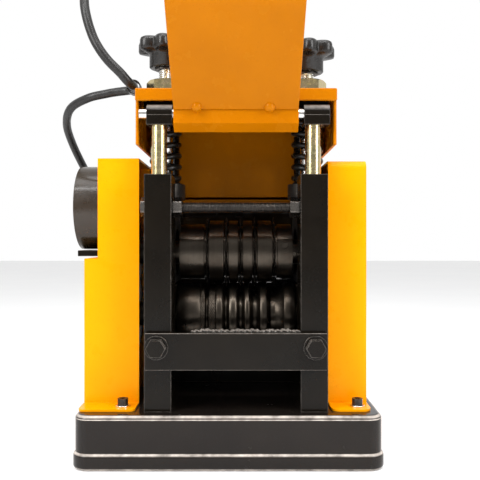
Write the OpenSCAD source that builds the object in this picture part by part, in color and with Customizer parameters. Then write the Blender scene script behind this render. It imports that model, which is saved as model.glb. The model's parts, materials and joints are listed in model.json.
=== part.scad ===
// Bench-top powered wire feeder and stripper with two grooved rollers.
// X runs to the right, Y from the infeed side to the outfeed side, Z up.
// The origin lies on the bench, straight below the middle of the two roller axes.

/* [Base] */
// Left end of the base, as a distance from the roller centre
base_left = 148; // [146:1:170]
// Right end of the base
base_right = 134; // [132:1:150]
// Front edge of the base
base_front = 82; // [80:1:95]
// Rear edge of the base
base_rear = 188; // [186:1:210]
// Height of the base
base_h = 50; // [46:1:56]
// How far the bottom rim stands out
rim_out = 2; // [1:0.5:4]
// Height of the bottom rim
rim_h = 16; // [12:1:20]

/* [Side plates] */
// Clear width between the side plates
throat_w = 120; // [118:1:130]
// Thickness of a side plate
plate_t = 25; // [22:1:28]
// Front face of the side plates
plate_front = 68; // [66:1:72]
// Rear face of the side plates
plate_rear = 63; // [60:1:66]
// Top of the side plates
plate_top = 270; // [266:1:276]

/* [Rollers] */
// Height of the lower roller axis
lower_z = 134; // [132:1:136]
// Distance between the roller axes with the rollers closed
axis_gap = 63; // [63:0.1:63.2]
// Radius of the lower roller's ridges
ridge_r = 31; // [30:0.1:31.1]
// Radius of the upper roller's spacer discs
spacer_r = 31.7; // [30:0.1:31.7]
// Radius of the slitting blades
blade_r = 35.6; // [34:0.1:37]
// Diameter of the roller shafts
shaft_d = 25; // [24:1:26]

/* [Guard] */
// Width of the guard plate
guard_w = 115.4; // [110:0.2:116]
// Length of the guard up to its bend
guard_long = 104; // [90:1:110]
// Length of the guard past its bend
guard_tip = 84; // [60:1:86]
// Angle of the raised guard above horizontal
guard_angle = 44; // [40:1:48]
// Angle by which the tip bends up
guard_bend = 12; // [6:1:14]

/* [Knobs] */
// Radius of a knob's head
knob_r = 29.2; // [26:0.2:30]
// Number of lobes on a knob
knob_lobes = 7; // [5:1:9]
// Height of the left knob's washer above the bench
left_knob_z = 382.6; // [382:0.2:386]
// Height of the right knob's washer above the bench
right_knob_z = 378; // [378:0.2:386]

/* [Hidden] */
$fn = 64;

// Places shared by several pieces
plate_mid = throat_w / 2 + plate_t / 2;
plate_out = throat_w / 2 + plate_t;
upper_z = lower_z + axis_gap;
slot_half = 28.3;
slot_floor = 164;
block_half = 28;
block_floor = 166.5;
block_top = 250;
bearing_r = 23.5;
bearing_w = 12;
hinge_y = -56;
hinge_z = 327.5;
barrel_low = 316.5;
pin_r = 5;
hood_top = 352;
hood_half = 95;
hood_front = -58;
hood_hem = 299;
bridge_low = 339;
bridge_high = 349;
sheet_t = 2;
hood_t = 3;
bush_top = 371;
stud_r = 7;
column_y = 46;
column_r = 10;
tie_y = -50;
tie_z = 240;
tie_r = 5;
cover_front = -39;
cover_top = 288;
left_cover_in = 94;
left_cover_out = 134;
left_cover_low = 147;
left_cover_step = 191;
left_cover_back = 42;
right_cover_in = 89;
right_cover_out = 126;
right_cover_back = 170;
foot_front = -67;
motor_y = 130;
motor_z = 248;
motor_r = 50;
motor_left = -188;
shelf_low = 190;
shelf_high = 197;
lead_r = 4.9;

// Toothed gears: one module, so that any two of them mesh
tooth_size = 3;
pressure = 20;
sync_teeth = 21;
idler_teeth = 38;
pinion_teeth = 19;
tooth_slack = 0.22;
sync_x = -118;
sync_w = 18;
train_x = 97;
train_w = 16;

// Idler centre: where circles about the lower shaft and the motor shaft cross
mesh_play = 0.06;
reach_low = tooth_size * (sync_teeth + idler_teeth) / 2 + mesh_play;
reach_high = tooth_size * (idler_teeth + pinion_teeth) / 2 + mesh_play;
span_y = motor_y;
span_z = motor_z - lower_z;
span = norm([span_y, span_z]);
along = (reach_low * reach_low - reach_high * reach_high + span * span) / (2 * span);
aside = sqrt(reach_low * reach_low - along * along);
idler_y = (along * span_y + aside * span_z) / span;
idler_z = lower_z + (along * span_z - aside * span_y) / span;

// Turns a gear so that its gaps face the other gear's teeth
function mate_phase(phase, z1, z2, angle) =
    angle + 180 - (180 - z1 * (angle - phase)) / z2;
drive_phase = 0;
idler_phase = mate_phase(drive_phase, sync_teeth, idler_teeth, atan2(idler_z - lower_z, idler_y));
pinion_phase = mate_phase(idler_phase, idler_teeth, pinion_teeth,
    atan2(motor_z - idler_z, motor_y - idler_y));

// One involute flank, from the root circle to the tip circle
function involute_angle(r, base) =
    r <= base ? 0 : sqrt(r * r / (base * base) - 1) * 180 / PI - acos(base / r);
function flank(pitch_r, teeth, side, steps = 5) =
    let (base = pitch_r * cos(pressure),
         root = pitch_r - 1.2 * tooth_size,
         tip = pitch_r + tooth_size - 0.15,
         half = 90 / teeth - tooth_slack / pitch_r * 90 / PI + involute_angle(pitch_r, base))
    [for (i = [0 : steps])
        let (k = side > 0 ? steps - i : i,
             r = root + (tip - root) * k / steps,
             a = side * (half - involute_angle(r, base)))
        [r, a]];

// A gear's outline, as a plane figure
module gear_outline(teeth, phase) {
    pitch_r = tooth_size * teeth / 2;
    polygon([for (t = [0 : teeth - 1])
        for (p = concat(flank(pitch_r, teeth, -1), flank(pitch_r, teeth, 1)))
            let (a = phase + t * 360 / teeth + p[1])
            [p[0] * cos(a), p[0] * sin(a)]]);
}

// Carries a figure drawn in Y and Z along X
module along_x(x, length) {
    translate([x, 0, 0]) rotate([90, 0, 90]) linear_extrude(length) children();
}

// A round bar along X
module bar_x(x, length, r, y = 0, z = 0) {
    translate([x, y, z]) rotate([0, 90, 0]) cylinder(h = length, r = r);
}

// A round bar along Y
module bar_y(y, length, r, x = 0, z = 0) {
    translate([x, y, z]) rotate([-90, 0, 0]) cylinder(h = length, r = r);
}

// A hexagonal bar with the given width across flats, standing on Z
module hex_z(height, flats) {
    cylinder(h = height, r = flats / sqrt(3), $fn = 6);
}

// A hexagonal nut or head along X
module hex_x(x, length, flats, y, z) {
    translate([x, y, z]) rotate([0, 90, 0]) hex_z(length, flats);
}

// A box given by its lowest and highest corners
module span_box(low, high) {
    translate(low) cube(high - low);
}

// Makes the same piece left and right
module both_sides() {
    children();
    mirror([1, 0, 0]) children();
}

// A block with rounded upright corners
module round_block(low, high, r) {
    translate([0, 0, low[2]]) linear_extrude(high[2] - low[2]) {
        translate([low[0] + r, low[1]]) square([high[0] - low[0] - 2 * r, high[1] - low[1]]);
        translate([low[0], low[1] + r]) square([high[0] - low[0], high[1] - low[1] - 2 * r]);
        for (x = [low[0] + r, high[0] - r])
            for (y = [low[1] + r, high[1] - r])
                translate([x, y]) circle(r);
    }
}

// ---- Base ----

// Folded steel pan that carries the machine
module base_pan() {
    pan_t = 3;
    color([0.07, 0.065, 0.06]) difference() {
        round_block([-base_left, -base_front, rim_h], [base_right, base_rear, base_h], 14);
        round_block([-base_left + pan_t, -base_front + pan_t, rim_h - 1],
            [base_right - pan_t, base_rear - pan_t, base_h - pan_t], 11);
    }
}

// Closed bottom tray whose rim stands out below the pan
module base_tray() {
    tray_t = 3;
    color([0.08, 0.075, 0.07]) difference() {
        round_block([-base_left - rim_out, -base_front - rim_out, 0],
            [base_right + rim_out, base_rear + rim_out, rim_h], 16);
        round_block([-base_left + 6, -base_front + 6, tray_t],
            [base_right - 6, base_rear - 6, rim_h + 1], 8);
        bar_y(base_rear - 10, 20, 5.2, -100, 9.5);
    }
}

// ---- Side plates and the parts that tie them ----

// Thick side plate on the left, with a slot for the sliding block
module left_plate_shape() {
    difference() {
        span_box([-plate_out, -plate_front, base_h], [-throat_w / 2, plate_rear, plate_top]);
        span_box([-plate_out - 1, -slot_half, slot_floor], [-throat_w / 2 + 1, slot_half, plate_top + 1]);
        bar_x(-plate_out - 1, plate_t + 2, bearing_r, 0, lower_z);
        bar_x(-plate_out - 1, plate_t + 2, tie_r + 0.3, tie_y, tie_z);
        bar_y(-plate_front - 1, 13, 5, -plate_mid, 111);
        bar_y(plate_rear - 12, 13, 5, -plate_mid, 111);
    }
}

module side_plate_left() {
    color([0.08, 0.075, 0.07]) left_plate_shape();
}

module side_plate_right() {
    color([0.08, 0.075, 0.07]) mirror([1, 0, 0]) left_plate_shape();
}

// Flat bar bolted across the plates
module crossbar_shape(y, low) {
    difference() {
        span_box([-83.5, y, low], [83.5, y + 9, 124]);
        for (x = [-72.5, 72.5]) bar_y(y - 1, 11, 5.3, x, 111);
    }
}

// Front bar below the infeed, with the short table that leads the wire to the rollers
module front_crossbar() {
    color([0.09, 0.085, 0.08]) union() {
        crossbar_shape(-plate_front - 9, 90);
        span_box([-52, -plate_front - 1, 113], [52, -44, 119]);
    }
}

// Deeper bar at the back, which also closes the space below the rollers
module rear_crossbar() {
    color([0.09, 0.085, 0.08]) crossbar_shape(plate_rear, base_h);
}

// Flanged hexagon bolt with its head towards the infeed side
module flange_bolt() {
    bar_y(-3, 23.8, 5);
    bar_y(-2.5, 2.5, 11);
    translate([0, -9.5, 0]) rotate([-90, 0, 0]) hex_z(7.2, 15.5);
}

module crossbar_bolts() {
    color([0.13, 0.12, 0.12]) for (x = [-72.5, 72.5]) {
        translate([x, -plate_front - 9, 111]) flange_bolt();
        translate([x, plate_rear + 9, 111]) rotate([0, 0, 180]) flange_bolt();
    }
}

// Rough weld along the top of the front bar
module weld_bead() {
    color([0.12, 0.11, 0.1]) difference() {
        bar_x(-42, 101.5, 4, -plate_front - 2, 124.1);
        span_box([-60, -90, 100], [80, -50, 124]);
    }
}

// Threaded spacer rod above the infeed
module tie_rod() {
    color([0.14, 0.13, 0.12]) bar_x(-91, 175, tie_r, tie_y, tie_z);
}

// Nuts inside both plates, and a thin one outside the left plate
module tie_rod_nuts() {
    color([0.25, 0.24, 0.23]) difference() {
        union() {
            both_sides() hex_x(throat_w / 2 - 9, 9, 17, tie_y, tie_z);
            hex_x(-plate_out - 5, 5, 17, tie_y, tie_z);
        }
        bar_x(-100, 200, tie_r, tie_y, tie_z);
    }
}

// Rear columns that hold the bridge above the plates
module bridge_columns() {
    color([0.62, 0.6, 0.5]) both_sides() {
        translate([plate_mid, column_y, plate_top]) cylinder(h = bridge_low - plate_top, r = column_r);
        translate([plate_mid, column_y, bridge_low]) cylinder(h = hood_top + 9 - bridge_low, r = 5);
    }
}

// Cap nuts that clamp the bridge and the hood on the columns
module column_nuts() {
    color([0.6, 0.58, 0.45]) both_sides() translate([plate_mid, column_y, hood_top]) difference() {
        hex_z(8, 17);
        translate([0, 0, -1]) cylinder(h = 20, r = 5);
    }
}

// Thick bridge plate that takes the pressure of the springs
module top_bridge() {
    color([0.1, 0.1, 0.1]) difference() {
        span_box([-90.5, -24, bridge_low], [90.5, 62, bridge_high]);
        both_sides() {
            translate([plate_mid, 0, 300]) cylinder(h = 80, r = stud_r + 0.5);
            translate([plate_mid, column_y, 300]) cylinder(h = 80, r = 5.05);
        }
    }
}

// Folded hood over the bridge, springs and rear opening
module hood_shell() {
    color([1, 0.66, 0.02]) difference() {
        union() {
            span_box([-hood_half, hood_front, hood_hem], [hood_half, 66, hood_top]);
            span_box([-86, 63, 240], [86, 66, hood_hem + 1]);
        }
        span_box([-hood_half + hood_t, hood_front + hood_t, 200],
            [hood_half - hood_t, 63, hood_top - hood_t]);
        span_box([-hood_half - 1, hood_front - 1, 200], [hood_half + 1, hood_front + hood_t, 340]);
        both_sides() {
            translate([plate_mid, 0, 300]) cylinder(h = 80, r = stud_r + 0.5);
            translate([plate_mid, column_y, 300]) cylinder(h = 80, r = 5.05);
            bar_y(50, 30, 3.2, plate_mid, 255);
        }
    }
}

// Button-head screws that hold the hood's back wall to the plates
module hood_screws() {
    color([0.2, 0.2, 0.2]) both_sides() difference() {
        union() {
            bar_y(63, 3.2, 3.1, plate_mid, 255);
            bar_y(66, 3.6, 5.5, plate_mid, 255);
        }
        translate([plate_mid, 68, 255]) rotate([-90, 0, 0]) hex_z(3, 4);
    }
}

// Hexagonal guide bushes on the hood for the adjusting studs
module screw_bushes() {
    color([0.55, 0.5, 0.36]) both_sides() translate([plate_mid, 0, hood_top]) difference() {
        intersection() {
            hex_z(bush_top - hood_top, 34);
            union() {
                cylinder(h = bush_top - hood_top - 1.6, r = 25);
                translate([0, 0, bush_top - hood_top - 1.6]) cylinder(h = 1.6, r1 = 19.6, r2 = 17);
            }
        }
        translate([0, 0, -1]) cylinder(h = 40, r = stud_r + 0.5);
    }
}

// ---- Guard hinge ----

// Plated posts that stand on the plates and carry the hinge
module hinge_posts() {
    color([0.72, 0.66, 0.4]) both_sides()
        translate([plate_mid, hinge_y, plate_top]) cylinder(h = barrel_low - plate_top, r = 7.5);
}

// Hinge barrels with flat feet that sit on the posts
module hinge_barrels() {
    color([0.1, 0.09, 0.09]) difference() {
        for (x = [-83.5, 63.5]) {
            bar_x(x, 24, 8.85, hinge_y, hinge_z);
            span_box([x, hinge_y - 8.85, barrel_low], [x + 24, hinge_y + 8.85, hinge_z - 2]);
        }
        bar_x(-100, 200, pin_r, hinge_y, hinge_z);
    }
}

// Bright hinge pin, pressed into both barrels
module hinge_pin() {
    color([0.7, 0.68, 0.6]) {
        bar_x(-91, 176, pin_r, hinge_y, hinge_z);
    }
}

// ---- Guard ----

guard_start = [hinge_y - 12, hinge_z + 3.5];
guard_dir = [-cos(guard_angle), sin(guard_angle)];
tip_dir = [-cos(guard_angle + guard_bend), sin(guard_angle + guard_bend)];
guard_knee = guard_start + guard_long * guard_dir;
guard_end = guard_knee + guard_tip * tip_dir;
guard_t = 2.5;
guard_side = [-guard_dir[1], guard_dir[0]] * guard_t;
tip_side = [-tip_dir[1], tip_dir[0]] * guard_t;

// Bent guard plate over the infeed
module guard_plate() {
    color([0.98, 0.62, 0.02]) along_x(-guard_w / 2, guard_w)
        polygon([guard_start, guard_knee, guard_end, guard_end + tip_side,
            guard_knee + (guard_side + tip_side) / 2, guard_start + guard_side]);
}

// Formed hinge channel of the guard, with its sleeve and weld tacks
module guard_channel() {
    outer = [[-12, 3.5], [-12, -10.5], [-3, -17.5], [-1.5, -15.5], [-9.5, -9.2], [-9.5, 3.5]];
    color([1, 0.66, 0.02]) difference() {
        union() {
            along_x(-58, 116) translate([hinge_y, hinge_z]) polygon(outer);
            bar_x(-58, 116, 7.6, hinge_y, hinge_z);
            span_box([-56, hinge_y - 10, hinge_z - 5], [56, hinge_y - 5.5, hinge_z + 1]);
            for (x = [-36, 31]) translate([x, hinge_y - 15, hinge_z + 4]) sphere(r = 5.2);
        }
        bar_x(-80, 160, pin_r + 0.05, hinge_y, hinge_z);
        along_x(-guard_w / 2 - 1, guard_w + 2)
            polygon([guard_start, guard_knee, guard_knee + guard_side, guard_start + guard_side]);
    }
}

// ---- Covers ----

// Stepped sheet cover over the roller gears on the left
module left_cover() {
    color([1, 0.68, 0.0]) difference() {
        union() {
            span_box([-left_cover_out, cover_front, base_h], [-left_cover_in, left_cover_back, cover_top]);
            span_box([-left_cover_low, cover_front, base_h],
                [-left_cover_in, left_cover_back, left_cover_step]);
            round_block([-left_cover_low, foot_front, base_h],
                [-left_cover_in, left_cover_back + 24, base_h + sheet_t], 6);
        }
        span_box([-left_cover_out + sheet_t, cover_front + sheet_t, base_h - 1],
            [-left_cover_in + 1, left_cover_back - sheet_t, cover_top - sheet_t]);
        span_box([-left_cover_low + sheet_t, cover_front + sheet_t, base_h - 1],
            [-left_cover_in + 1, left_cover_back - sheet_t, left_cover_step - sheet_t]);
        for (y = [-54, left_cover_back + 14]) translate([-107, y, base_h - 1]) cylinder(h = 5, r = 3.3);
    }
}

// Tall sheet cover over the drive gears on the right
module right_cover() {
    color([1, 0.68, 0.0]) difference() {
        union() {
            span_box([right_cover_in, cover_front, base_h],
                [right_cover_out, right_cover_back, cover_top - 10]);
            span_box([right_cover_in, cover_front + 8, base_h],
                [right_cover_out, right_cover_back, cover_top - 2]);
            bar_x(right_cover_in, right_cover_out - right_cover_in, 8, cover_front + 8, cover_top - 10);
            round_block([right_cover_in, foot_front, base_h],
                [right_cover_out, cover_front + 20, base_h + sheet_t], 9);
        }
        span_box([right_cover_in - 1, cover_front + sheet_t, base_h - 1],
            [right_cover_out - sheet_t, right_cover_back - sheet_t, cover_top - 11]);
        span_box([right_cover_in - 1, cover_front + 8, base_h - 1],
            [right_cover_out - sheet_t, right_cover_back - sheet_t, cover_top - 4]);
        translate([114.5, -54, base_h - 1]) cylinder(h = 5, r = 3.3);
        span_box([right_cover_out - 5, 84, 104], [right_cover_out + 1, 116, 166]);
    }
}

cover_screw_places = [[-107, -54], [-107, left_cover_back + 14], [114.5, -54]];

// Socket-head screws through the cover feet
module cover_screws() {
    color([0.12, 0.12, 0.12]) for (p = cover_screw_places) translate([p[0], p[1], base_h + 2]) difference() {
        union() {
            translate([0, 0, -2]) cylinder(h = 4, r = 3);
            translate([0, 0, 1.6]) cylinder(h = 6, r = 5);
        }
        translate([0, 0, 4.6]) hex_z(4, 5);
    }
}

// Plain washers under those screws
module cover_washers() {
    color([0.8, 0.8, 0.8]) for (p = cover_screw_places) translate([p[0], p[1], base_h + 2]) difference() {
        cylinder(h = 1.6, r = 7);
        translate([0, 0, -1]) cylinder(h = 5, r = 3.2);
    }
}

// ---- Bearings ----

// A ball bearing ring set, filled between its races
module bearing(x, z) {
    difference() {
        bar_x(x, bearing_w, bearing_r, 0, z);
        bar_x(x - 1, bearing_w + 2, shaft_d / 2 + 0.04, 0, z);
        for (s = [x - 1, x + bearing_w - 0.8]) difference() {
            bar_x(s, 1.8, 20, 0, z);
            bar_x(s - 1, 4, 16, 0, z);
        }
    }
}

module lower_bearings() {
    color([0.6, 0.6, 0.62]) both_sides() bearing(plate_mid - bearing_w / 2, lower_z);
}

module upper_bearings() {
    color([0.6, 0.6, 0.62]) both_sides() bearing(plate_mid - bearing_w / 2, upper_z);
}

// ---- Drive ----

// Upright plate behind the right side plate that carries the gearhead
module motor_plate() {
    color([0.1, 0.1, 0.1]) difference() {
        span_box([77, plate_rear, base_h], [plate_out, 182, 300]);
        bar_x(70, 30, 20.5, motor_y, motor_z);
        span_box([76, plate_rear - 1, base_h - 1], [plate_out + 1, plate_rear + 22, 125]);
        span_box([70, plate_rear - 1, 236], [plate_out + 1, plate_rear + 8, 301]);
    }
}

// Shelf under the motor, with a leg behind the left side plate and an apron that turns the stripped wire down
module motor_shelf() {
    color([0.1, 0.1, 0.1]) difference() {
        union() {
            span_box([-186, 95, shelf_low], [77, 165, shelf_high]);
            span_box([-80, 95, 132], [77, 98, shelf_low + 1]);
            for (x = [-100, 0]) span_box([x, 108, shelf_high - 1], [x + 12, 152, shelf_high + 8]);
            span_box([-80, 95, base_h], [-73, 165, shelf_low + 1]);
        }
        bar_x(-190, 270, motor_r + 0.02, motor_y, motor_z);
    }
}

// Planetary gearhead with its output shaft boss
module gearhead() {
    color([0.3, 0.3, 0.31]) difference() {
        union() {
            bar_x(20, 57, motor_r - 1, motor_y, motor_z);
            bar_x(70, 15, 20, motor_y, motor_z);
        }
        bar_x(60, 30, 8.05, motor_y, motor_z);
    }
}

// Finned motor housing
module motor_body() {
    color([0.1, 0.1, 0.1]) difference() {
        bar_x(-118, 138, motor_r, motor_y, motor_z);
        for (a = [0 : 15 : 345]) translate([-106, motor_y, motor_z]) rotate([a, 0, 0])
            translate([0, 0, motor_r - 4]) cube([114, 5, 6]);
    }
}

// Fan cover at the motor's left end, with slots
module fan_cover() {
    color([0.09, 0.09, 0.09]) difference() {
        bar_x(motor_left, -118 - motor_left, motor_r, motor_y, motor_z);
        bar_x(motor_left + 2, 80, motor_r - 2, motor_y, motor_z);
        for (y = [-32 : 8 : 32])
            translate([motor_left - 1, motor_y + y - 1.8, motor_z - 28]) cube([5, 3.6, 56]);
    }
}

// Terminal box on top of the motor
module terminal_box() {
    color([0.09, 0.09, 0.09]) difference() {
        union() {
            round_block([-60, 102, 294], [8, 158, 326], 5);
            round_block([-62, 100, 326], [10, 160, 331], 6);
        }
        bar_x(-200, 260, motor_r, motor_y, motor_z);
    }
}

// Cable glands on the terminal box and on the rear of the base
module cable_glands() {
    color([0.12, 0.12, 0.12]) {
        translate([-30, 130, 331]) difference() {
            union() {
                hex_z(7, 20);
                translate([0, 0, 7]) cylinder(h = 11, r1 = 9.5, r2 = 7);
            }
            translate([0, 0, -1]) cylinder(h = 30, r = lead_r);
        }
        translate([-100, base_rear + rim_out, 9.5]) rotate([-90, 0, 0]) difference() {
            union() {
                translate([0, 0, -8]) cylinder(h = 8.2, r = 5.2);
                hex_z(5, 18);
                translate([0, 0, 5]) cylinder(h = 9, r1 = 8.5, r2 = 6.4);
            }
            translate([0, 0, -20]) cylinder(h = 50, r = lead_r);
        }
    }
}

// Course of the supply lead, from the rear gland over the hood clip to the motor
lead_points = [
    [-100, 192, 9.5], [-100, 212, 10], [-104, 230, 18], [-112, 240, 45], [-124, 240, 90], [-140, 234, 145],
    [-158, 222, 200], [-176, 202, 250], [-192, 174, 292], [-202, 140, 325], [-202, 108, 346],
    [-190, 80, 360], [-167, 64, 368], [-146, 60, 372], [-133, 59, 374], [-119, 56, 375],
    [-112, 45, 374], [-110, 30, 372], [-108, 14, 370], [-107, 2, 368], [-111, -6, 371], [-118, -7, 379],
    [-130, -7, 391], [-139, -7, 403], [-146, -6, 416], [-152, -5, 434], [-156, 0, 453],
    [-157, 12, 474], [-154, 34, 492], [-146, 60, 505], [-132, 86, 513], [-112, 107, 514],
    [-88, 121, 507], [-64, 128, 489], [-46, 130, 462], [-35, 130, 430], [-30, 130, 395], [-30, 130, 345]
];
lead_sides = 10;

// A smooth curve through four points, at a share of the way from the second to the third
function curve_at(a, b, c, d, t) =
    0.5 * (2 * b + (c - a) * t + (2 * a - 5 * b + 4 * c - d) * t * t + (3 * b - a - 3 * c + d) * t * t * t);
function pick(list, i) = list[max(0, min(len(list) - 1, i))];
function smooth_line(list, parts) =
    [for (i = [0 : len(list) - 2]) for (k = [0 : parts - 1])
        curve_at(pick(list, i - 1), list[i], list[i + 1], pick(list, i + 2), k / parts),
     list[len(list) - 1]];
function unit(v) = v / norm(v);

// Directions across the line, each turned as little as possible from the last
function carried(across, along) = unit(across - (across * along) * along);
function line_frames(line, i = 0, last = [1, 0, 0]) =
    i >= len(line) ? [] :
    let (t = unit(pick(line, i + 1) - pick(line, i - 1)), n = carried(last, t))
    concat([[line[i], n, cross(t, n)]], line_frames(line, i + 1, n));

// A round tube along a line of points
module swept_tube(line, r, sides, first = [1, 0, 0]) {
    frames = line_frames(line, 0, first);
    n = len(frames);
    points = [for (f = frames) for (s = [0 : sides - 1])
        f[0] + r * (cos(360 * s / sides) * f[1] + sin(360 * s / sides) * f[2])];
    walls = [for (i = [0 : n - 2]) for (s = [0 : sides - 1])
        let (s2 = (s + 1) % sides)
        [i * sides + s, (i + 1) * sides + s, (i + 1) * sides + s2, i * sides + s2]];
    caps = [[for (s = [0 : sides - 1]) s], [for (s = [sides - 1 : -1 : 0]) (n - 1) * sides + s]];
    polyhedron(points, concat(walls, caps), convexity = 6);
}

module supply_lead() {
    color([0.06, 0.06, 0.06]) swept_tube(smooth_line(lead_points, 2), lead_r - 0.1, lead_sides);
}

// Clip on the hood's edge that holds the lead
module cable_clip() {
    color([0.12, 0.12, 0.12]) {
        difference() {
            bar_y(22, 12, 7.6, -109.2, 371.5);
            bar_y(20, 16, 6.3, -109.2, 371.5);
        }
        difference() {
            union() {
                span_box([-104.5, 22, 367.5], [-98, 34, 369.5]);
                span_box([-100, 22, hood_top], [-98, 34, 369.5]);
            }
            bar_y(20, 16, 7.5, -109.2, 371.5);
        }
        span_box([-100, 22, 346], [-hood_half, 34, hood_top + 2]);
        span_box([-100, 22, hood_top], [-84, 34, hood_top + 2]);
    }
}

// ---- Switch on the right cover ----

// Bezel and housing of the start and stop switch
module switch_plate() {
    color([0.1, 0.1, 0.1]) difference() {
        union() {
            span_box([right_cover_out, 78, 98], [right_cover_out + 4, 122, 172]);
            span_box([right_cover_out - 8, 84.5, 104.5], [right_cover_out, 115.5, 165.5]);
        }
        bar_x(right_cover_out - 3, 20, 11.4, 100, 153);
        bar_x(right_cover_out - 3, 20, 11.4, 100, 117);
    }
}

// Flush start button
module start_button() {
    color([0.05, 0.5, 0.15]) bar_x(right_cover_out + 1.6, 6, 11, 100, 153);
}

// Raised stop button with a wider head
module stop_button() {
    color([0.7, 0.05, 0.04]) {
        bar_x(right_cover_out + 1.6, 9, 11, 100, 117);
        bar_x(right_cover_out + 10.4, 6, 15, 100, 117);
    }
}

// ---- Gears ----

// Gear body along X with a hub and a bore
module gear_body(teeth, phase, x, w, y, z, bore_r) {
    difference() {
        along_x(x, w) translate([y, z]) gear_outline(teeth, phase);
        bar_x(x - 1, w + 2, bore_r, y, z);
        if (teeth > 30) for (a = [30 : 60 : 330]) translate([0, y, z]) rotate([a, 0, 0])
            bar_x(x - 1, w + 2, 10, 0, 35);
    }
}

// Gear on the left end of the lower shaft that turns the upper one
module lower_gear() {
    color([0.35, 0.34, 0.33]) gear_body(sync_teeth, 0, sync_x, sync_w, 0, lower_z, shaft_d / 2);
}

module upper_gear() {
    color([0.35, 0.34, 0.33])
        gear_body(sync_teeth, mate_phase(0, sync_teeth, sync_teeth, 90),
            sync_x, sync_w, 0, upper_z, shaft_d / 2);
}

// Gear on the right end of the lower shaft that the motor drives
module drive_gear() {
    color([0.35, 0.34, 0.33]) gear_body(sync_teeth, drive_phase, train_x, train_w, 0, lower_z, shaft_d / 2);
}

module idler_gear() {
    color([0.35, 0.34, 0.33]) gear_body(idler_teeth, idler_phase, train_x, train_w, idler_y, idler_z, 10.06);
}

// Stub axle of the idler, screwed into the motor plate
module idler_pin() {
    color([0.6, 0.6, 0.6]) {
        bar_x(plate_out, train_x + train_w + 1 - plate_out, 10, idler_y, idler_z);
        bar_x(plate_out, train_x - 1 - plate_out, 15, idler_y, idler_z);
        bar_x(train_x + train_w + 1, 3, 13, idler_y, idler_z);
    }
}

// Pinion on the gearhead's output shaft
module motor_pinion() {
    color([0.4, 0.4, 0.4]) {
        gear_body(pinion_teeth, pinion_phase, train_x, train_w, motor_y, motor_z, 8);
        bar_x(61, train_x + train_w + 4 - 61, 8, motor_y, motor_z);
    }
}

// ---- Upper roller and its carriage ----

// Sliding block that holds the upper bearing
module block_shape() {
    difference() {
        span_box([throat_w / 2 + 0.5, -block_half, block_floor], [plate_out - 0.5, block_half, block_top]);
        bar_x(throat_w / 2 - 1, plate_t + 2, bearing_r, 0, upper_z);
        translate([plate_mid, 0, 228]) cylinder(h = 30, r = stud_r);
    }
}

module bearing_block_left() {
    color([0.12, 0.11, 0.1]) mirror([1, 0, 0]) block_shape();
}

module bearing_block_right() {
    color([0.12, 0.11, 0.1]) block_shape();
}

// Studs screwed into the blocks, one under each knob
module adjusting_studs() {
    color([0.7, 0.68, 0.55]) {
        translate([-plate_mid, 0, 228]) cylinder(h = left_knob_z + 15 - 228, r = stud_r);
        translate([plate_mid, 0, 228]) cylinder(h = right_knob_z + 15 - 228, r = stud_r);
    }
}

// Cups between the blocks and the springs
module spring_seats() {
    color([0.09, 0.09, 0.09]) both_sides() translate([plate_mid, 0, block_top]) difference() {
        cylinder(h = 15.6, r = 20);
        translate([0, 0, 8]) cylinder(h = 10, r = 17.2);
        translate([0, 0, -1]) cylinder(h = 30, r = stud_r);
    }
}

spring_wire = 2.9;
spring_mean = 13.6;
spring_low = block_top + 8 + spring_wire;
spring_high = bridge_low - spring_wire;
spring_turns = 6.6;
spring_steps = 15;

// Pressure spring, wound from round wire
module spring_shape() {
    count = floor(spring_turns * spring_steps);
    line = [for (i = [0 : count])
        let (a = 360 * i / spring_steps)
        [spring_mean * cos(a), spring_mean * sin(a), spring_low + (spring_high - spring_low) * i / count]];
    swept_tube(line, spring_wire, 8, [1, 0, 0]);
}

module spring_left() {
    color([0.06, 0.06, 0.06]) translate([-plate_mid, 0, 0]) spring_shape();
}

module spring_right() {
    color([0.06, 0.06, 0.06]) mirror([1, 0, 0]) translate([-plate_mid, 0, 0]) spring_shape();
}

// A shaft nut that also locates the bearing
module shaft_nut(x, w, z) {
    difference() {
        bar_x(x, w, 17, 0, z);
        bar_x(x - 1, w + 2, shaft_d / 2, 0, z);
        for (a = [0 : 90 : 270]) translate([0, 0, z]) rotate([a, 0, 0])
            span_box([x - 1, -2.5, 14.5], [x + w + 1, 2.5, 20]);
    }
}

// Upper shaft with its collars and nuts
module upper_shaft() {
    color([0.2, 0.19, 0.18]) {
        bar_x(-124, 214, shaft_d / 2, 0, upper_z);
        shaft_nut(sync_x - 5, 5, upper_z);
        shaft_nut(86, 4, upper_z);
        difference() {
            union() {
                bar_x(-56, 24, 28, 0, upper_z);
                bar_x(40.7, 14.8, 28, 0, upper_z);
            }
            bar_x(-60, 120, shaft_d / 2, 0, upper_z);
            bar_y(-35, 12, 3.2, 48, upper_z + 6);
        }
    }
}

blade_places = [-29.3, -10, 4.2, 18.4, 37.8];
blade_w = 1.6;

// Slitting blades, one above each groove
module cutting_blades() {
    color([0.4, 0.39, 0.38]) for (x = blade_places) difference() {
        union() {
            bar_x(x - blade_w / 2, blade_w, blade_r - 3, 0, upper_z);
            translate([x - blade_w / 2, 0, upper_z]) rotate([0, 90, 0])
                cylinder(h = blade_w / 2, r1 = blade_r - 3, r2 = blade_r);
            translate([x, 0, upper_z]) rotate([0, 90, 0])
                cylinder(h = blade_w / 2, r1 = blade_r, r2 = blade_r - 3);
        }
        bar_x(x - 5, 10, shaft_d / 2, 0, upper_z);
    }
}

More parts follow.
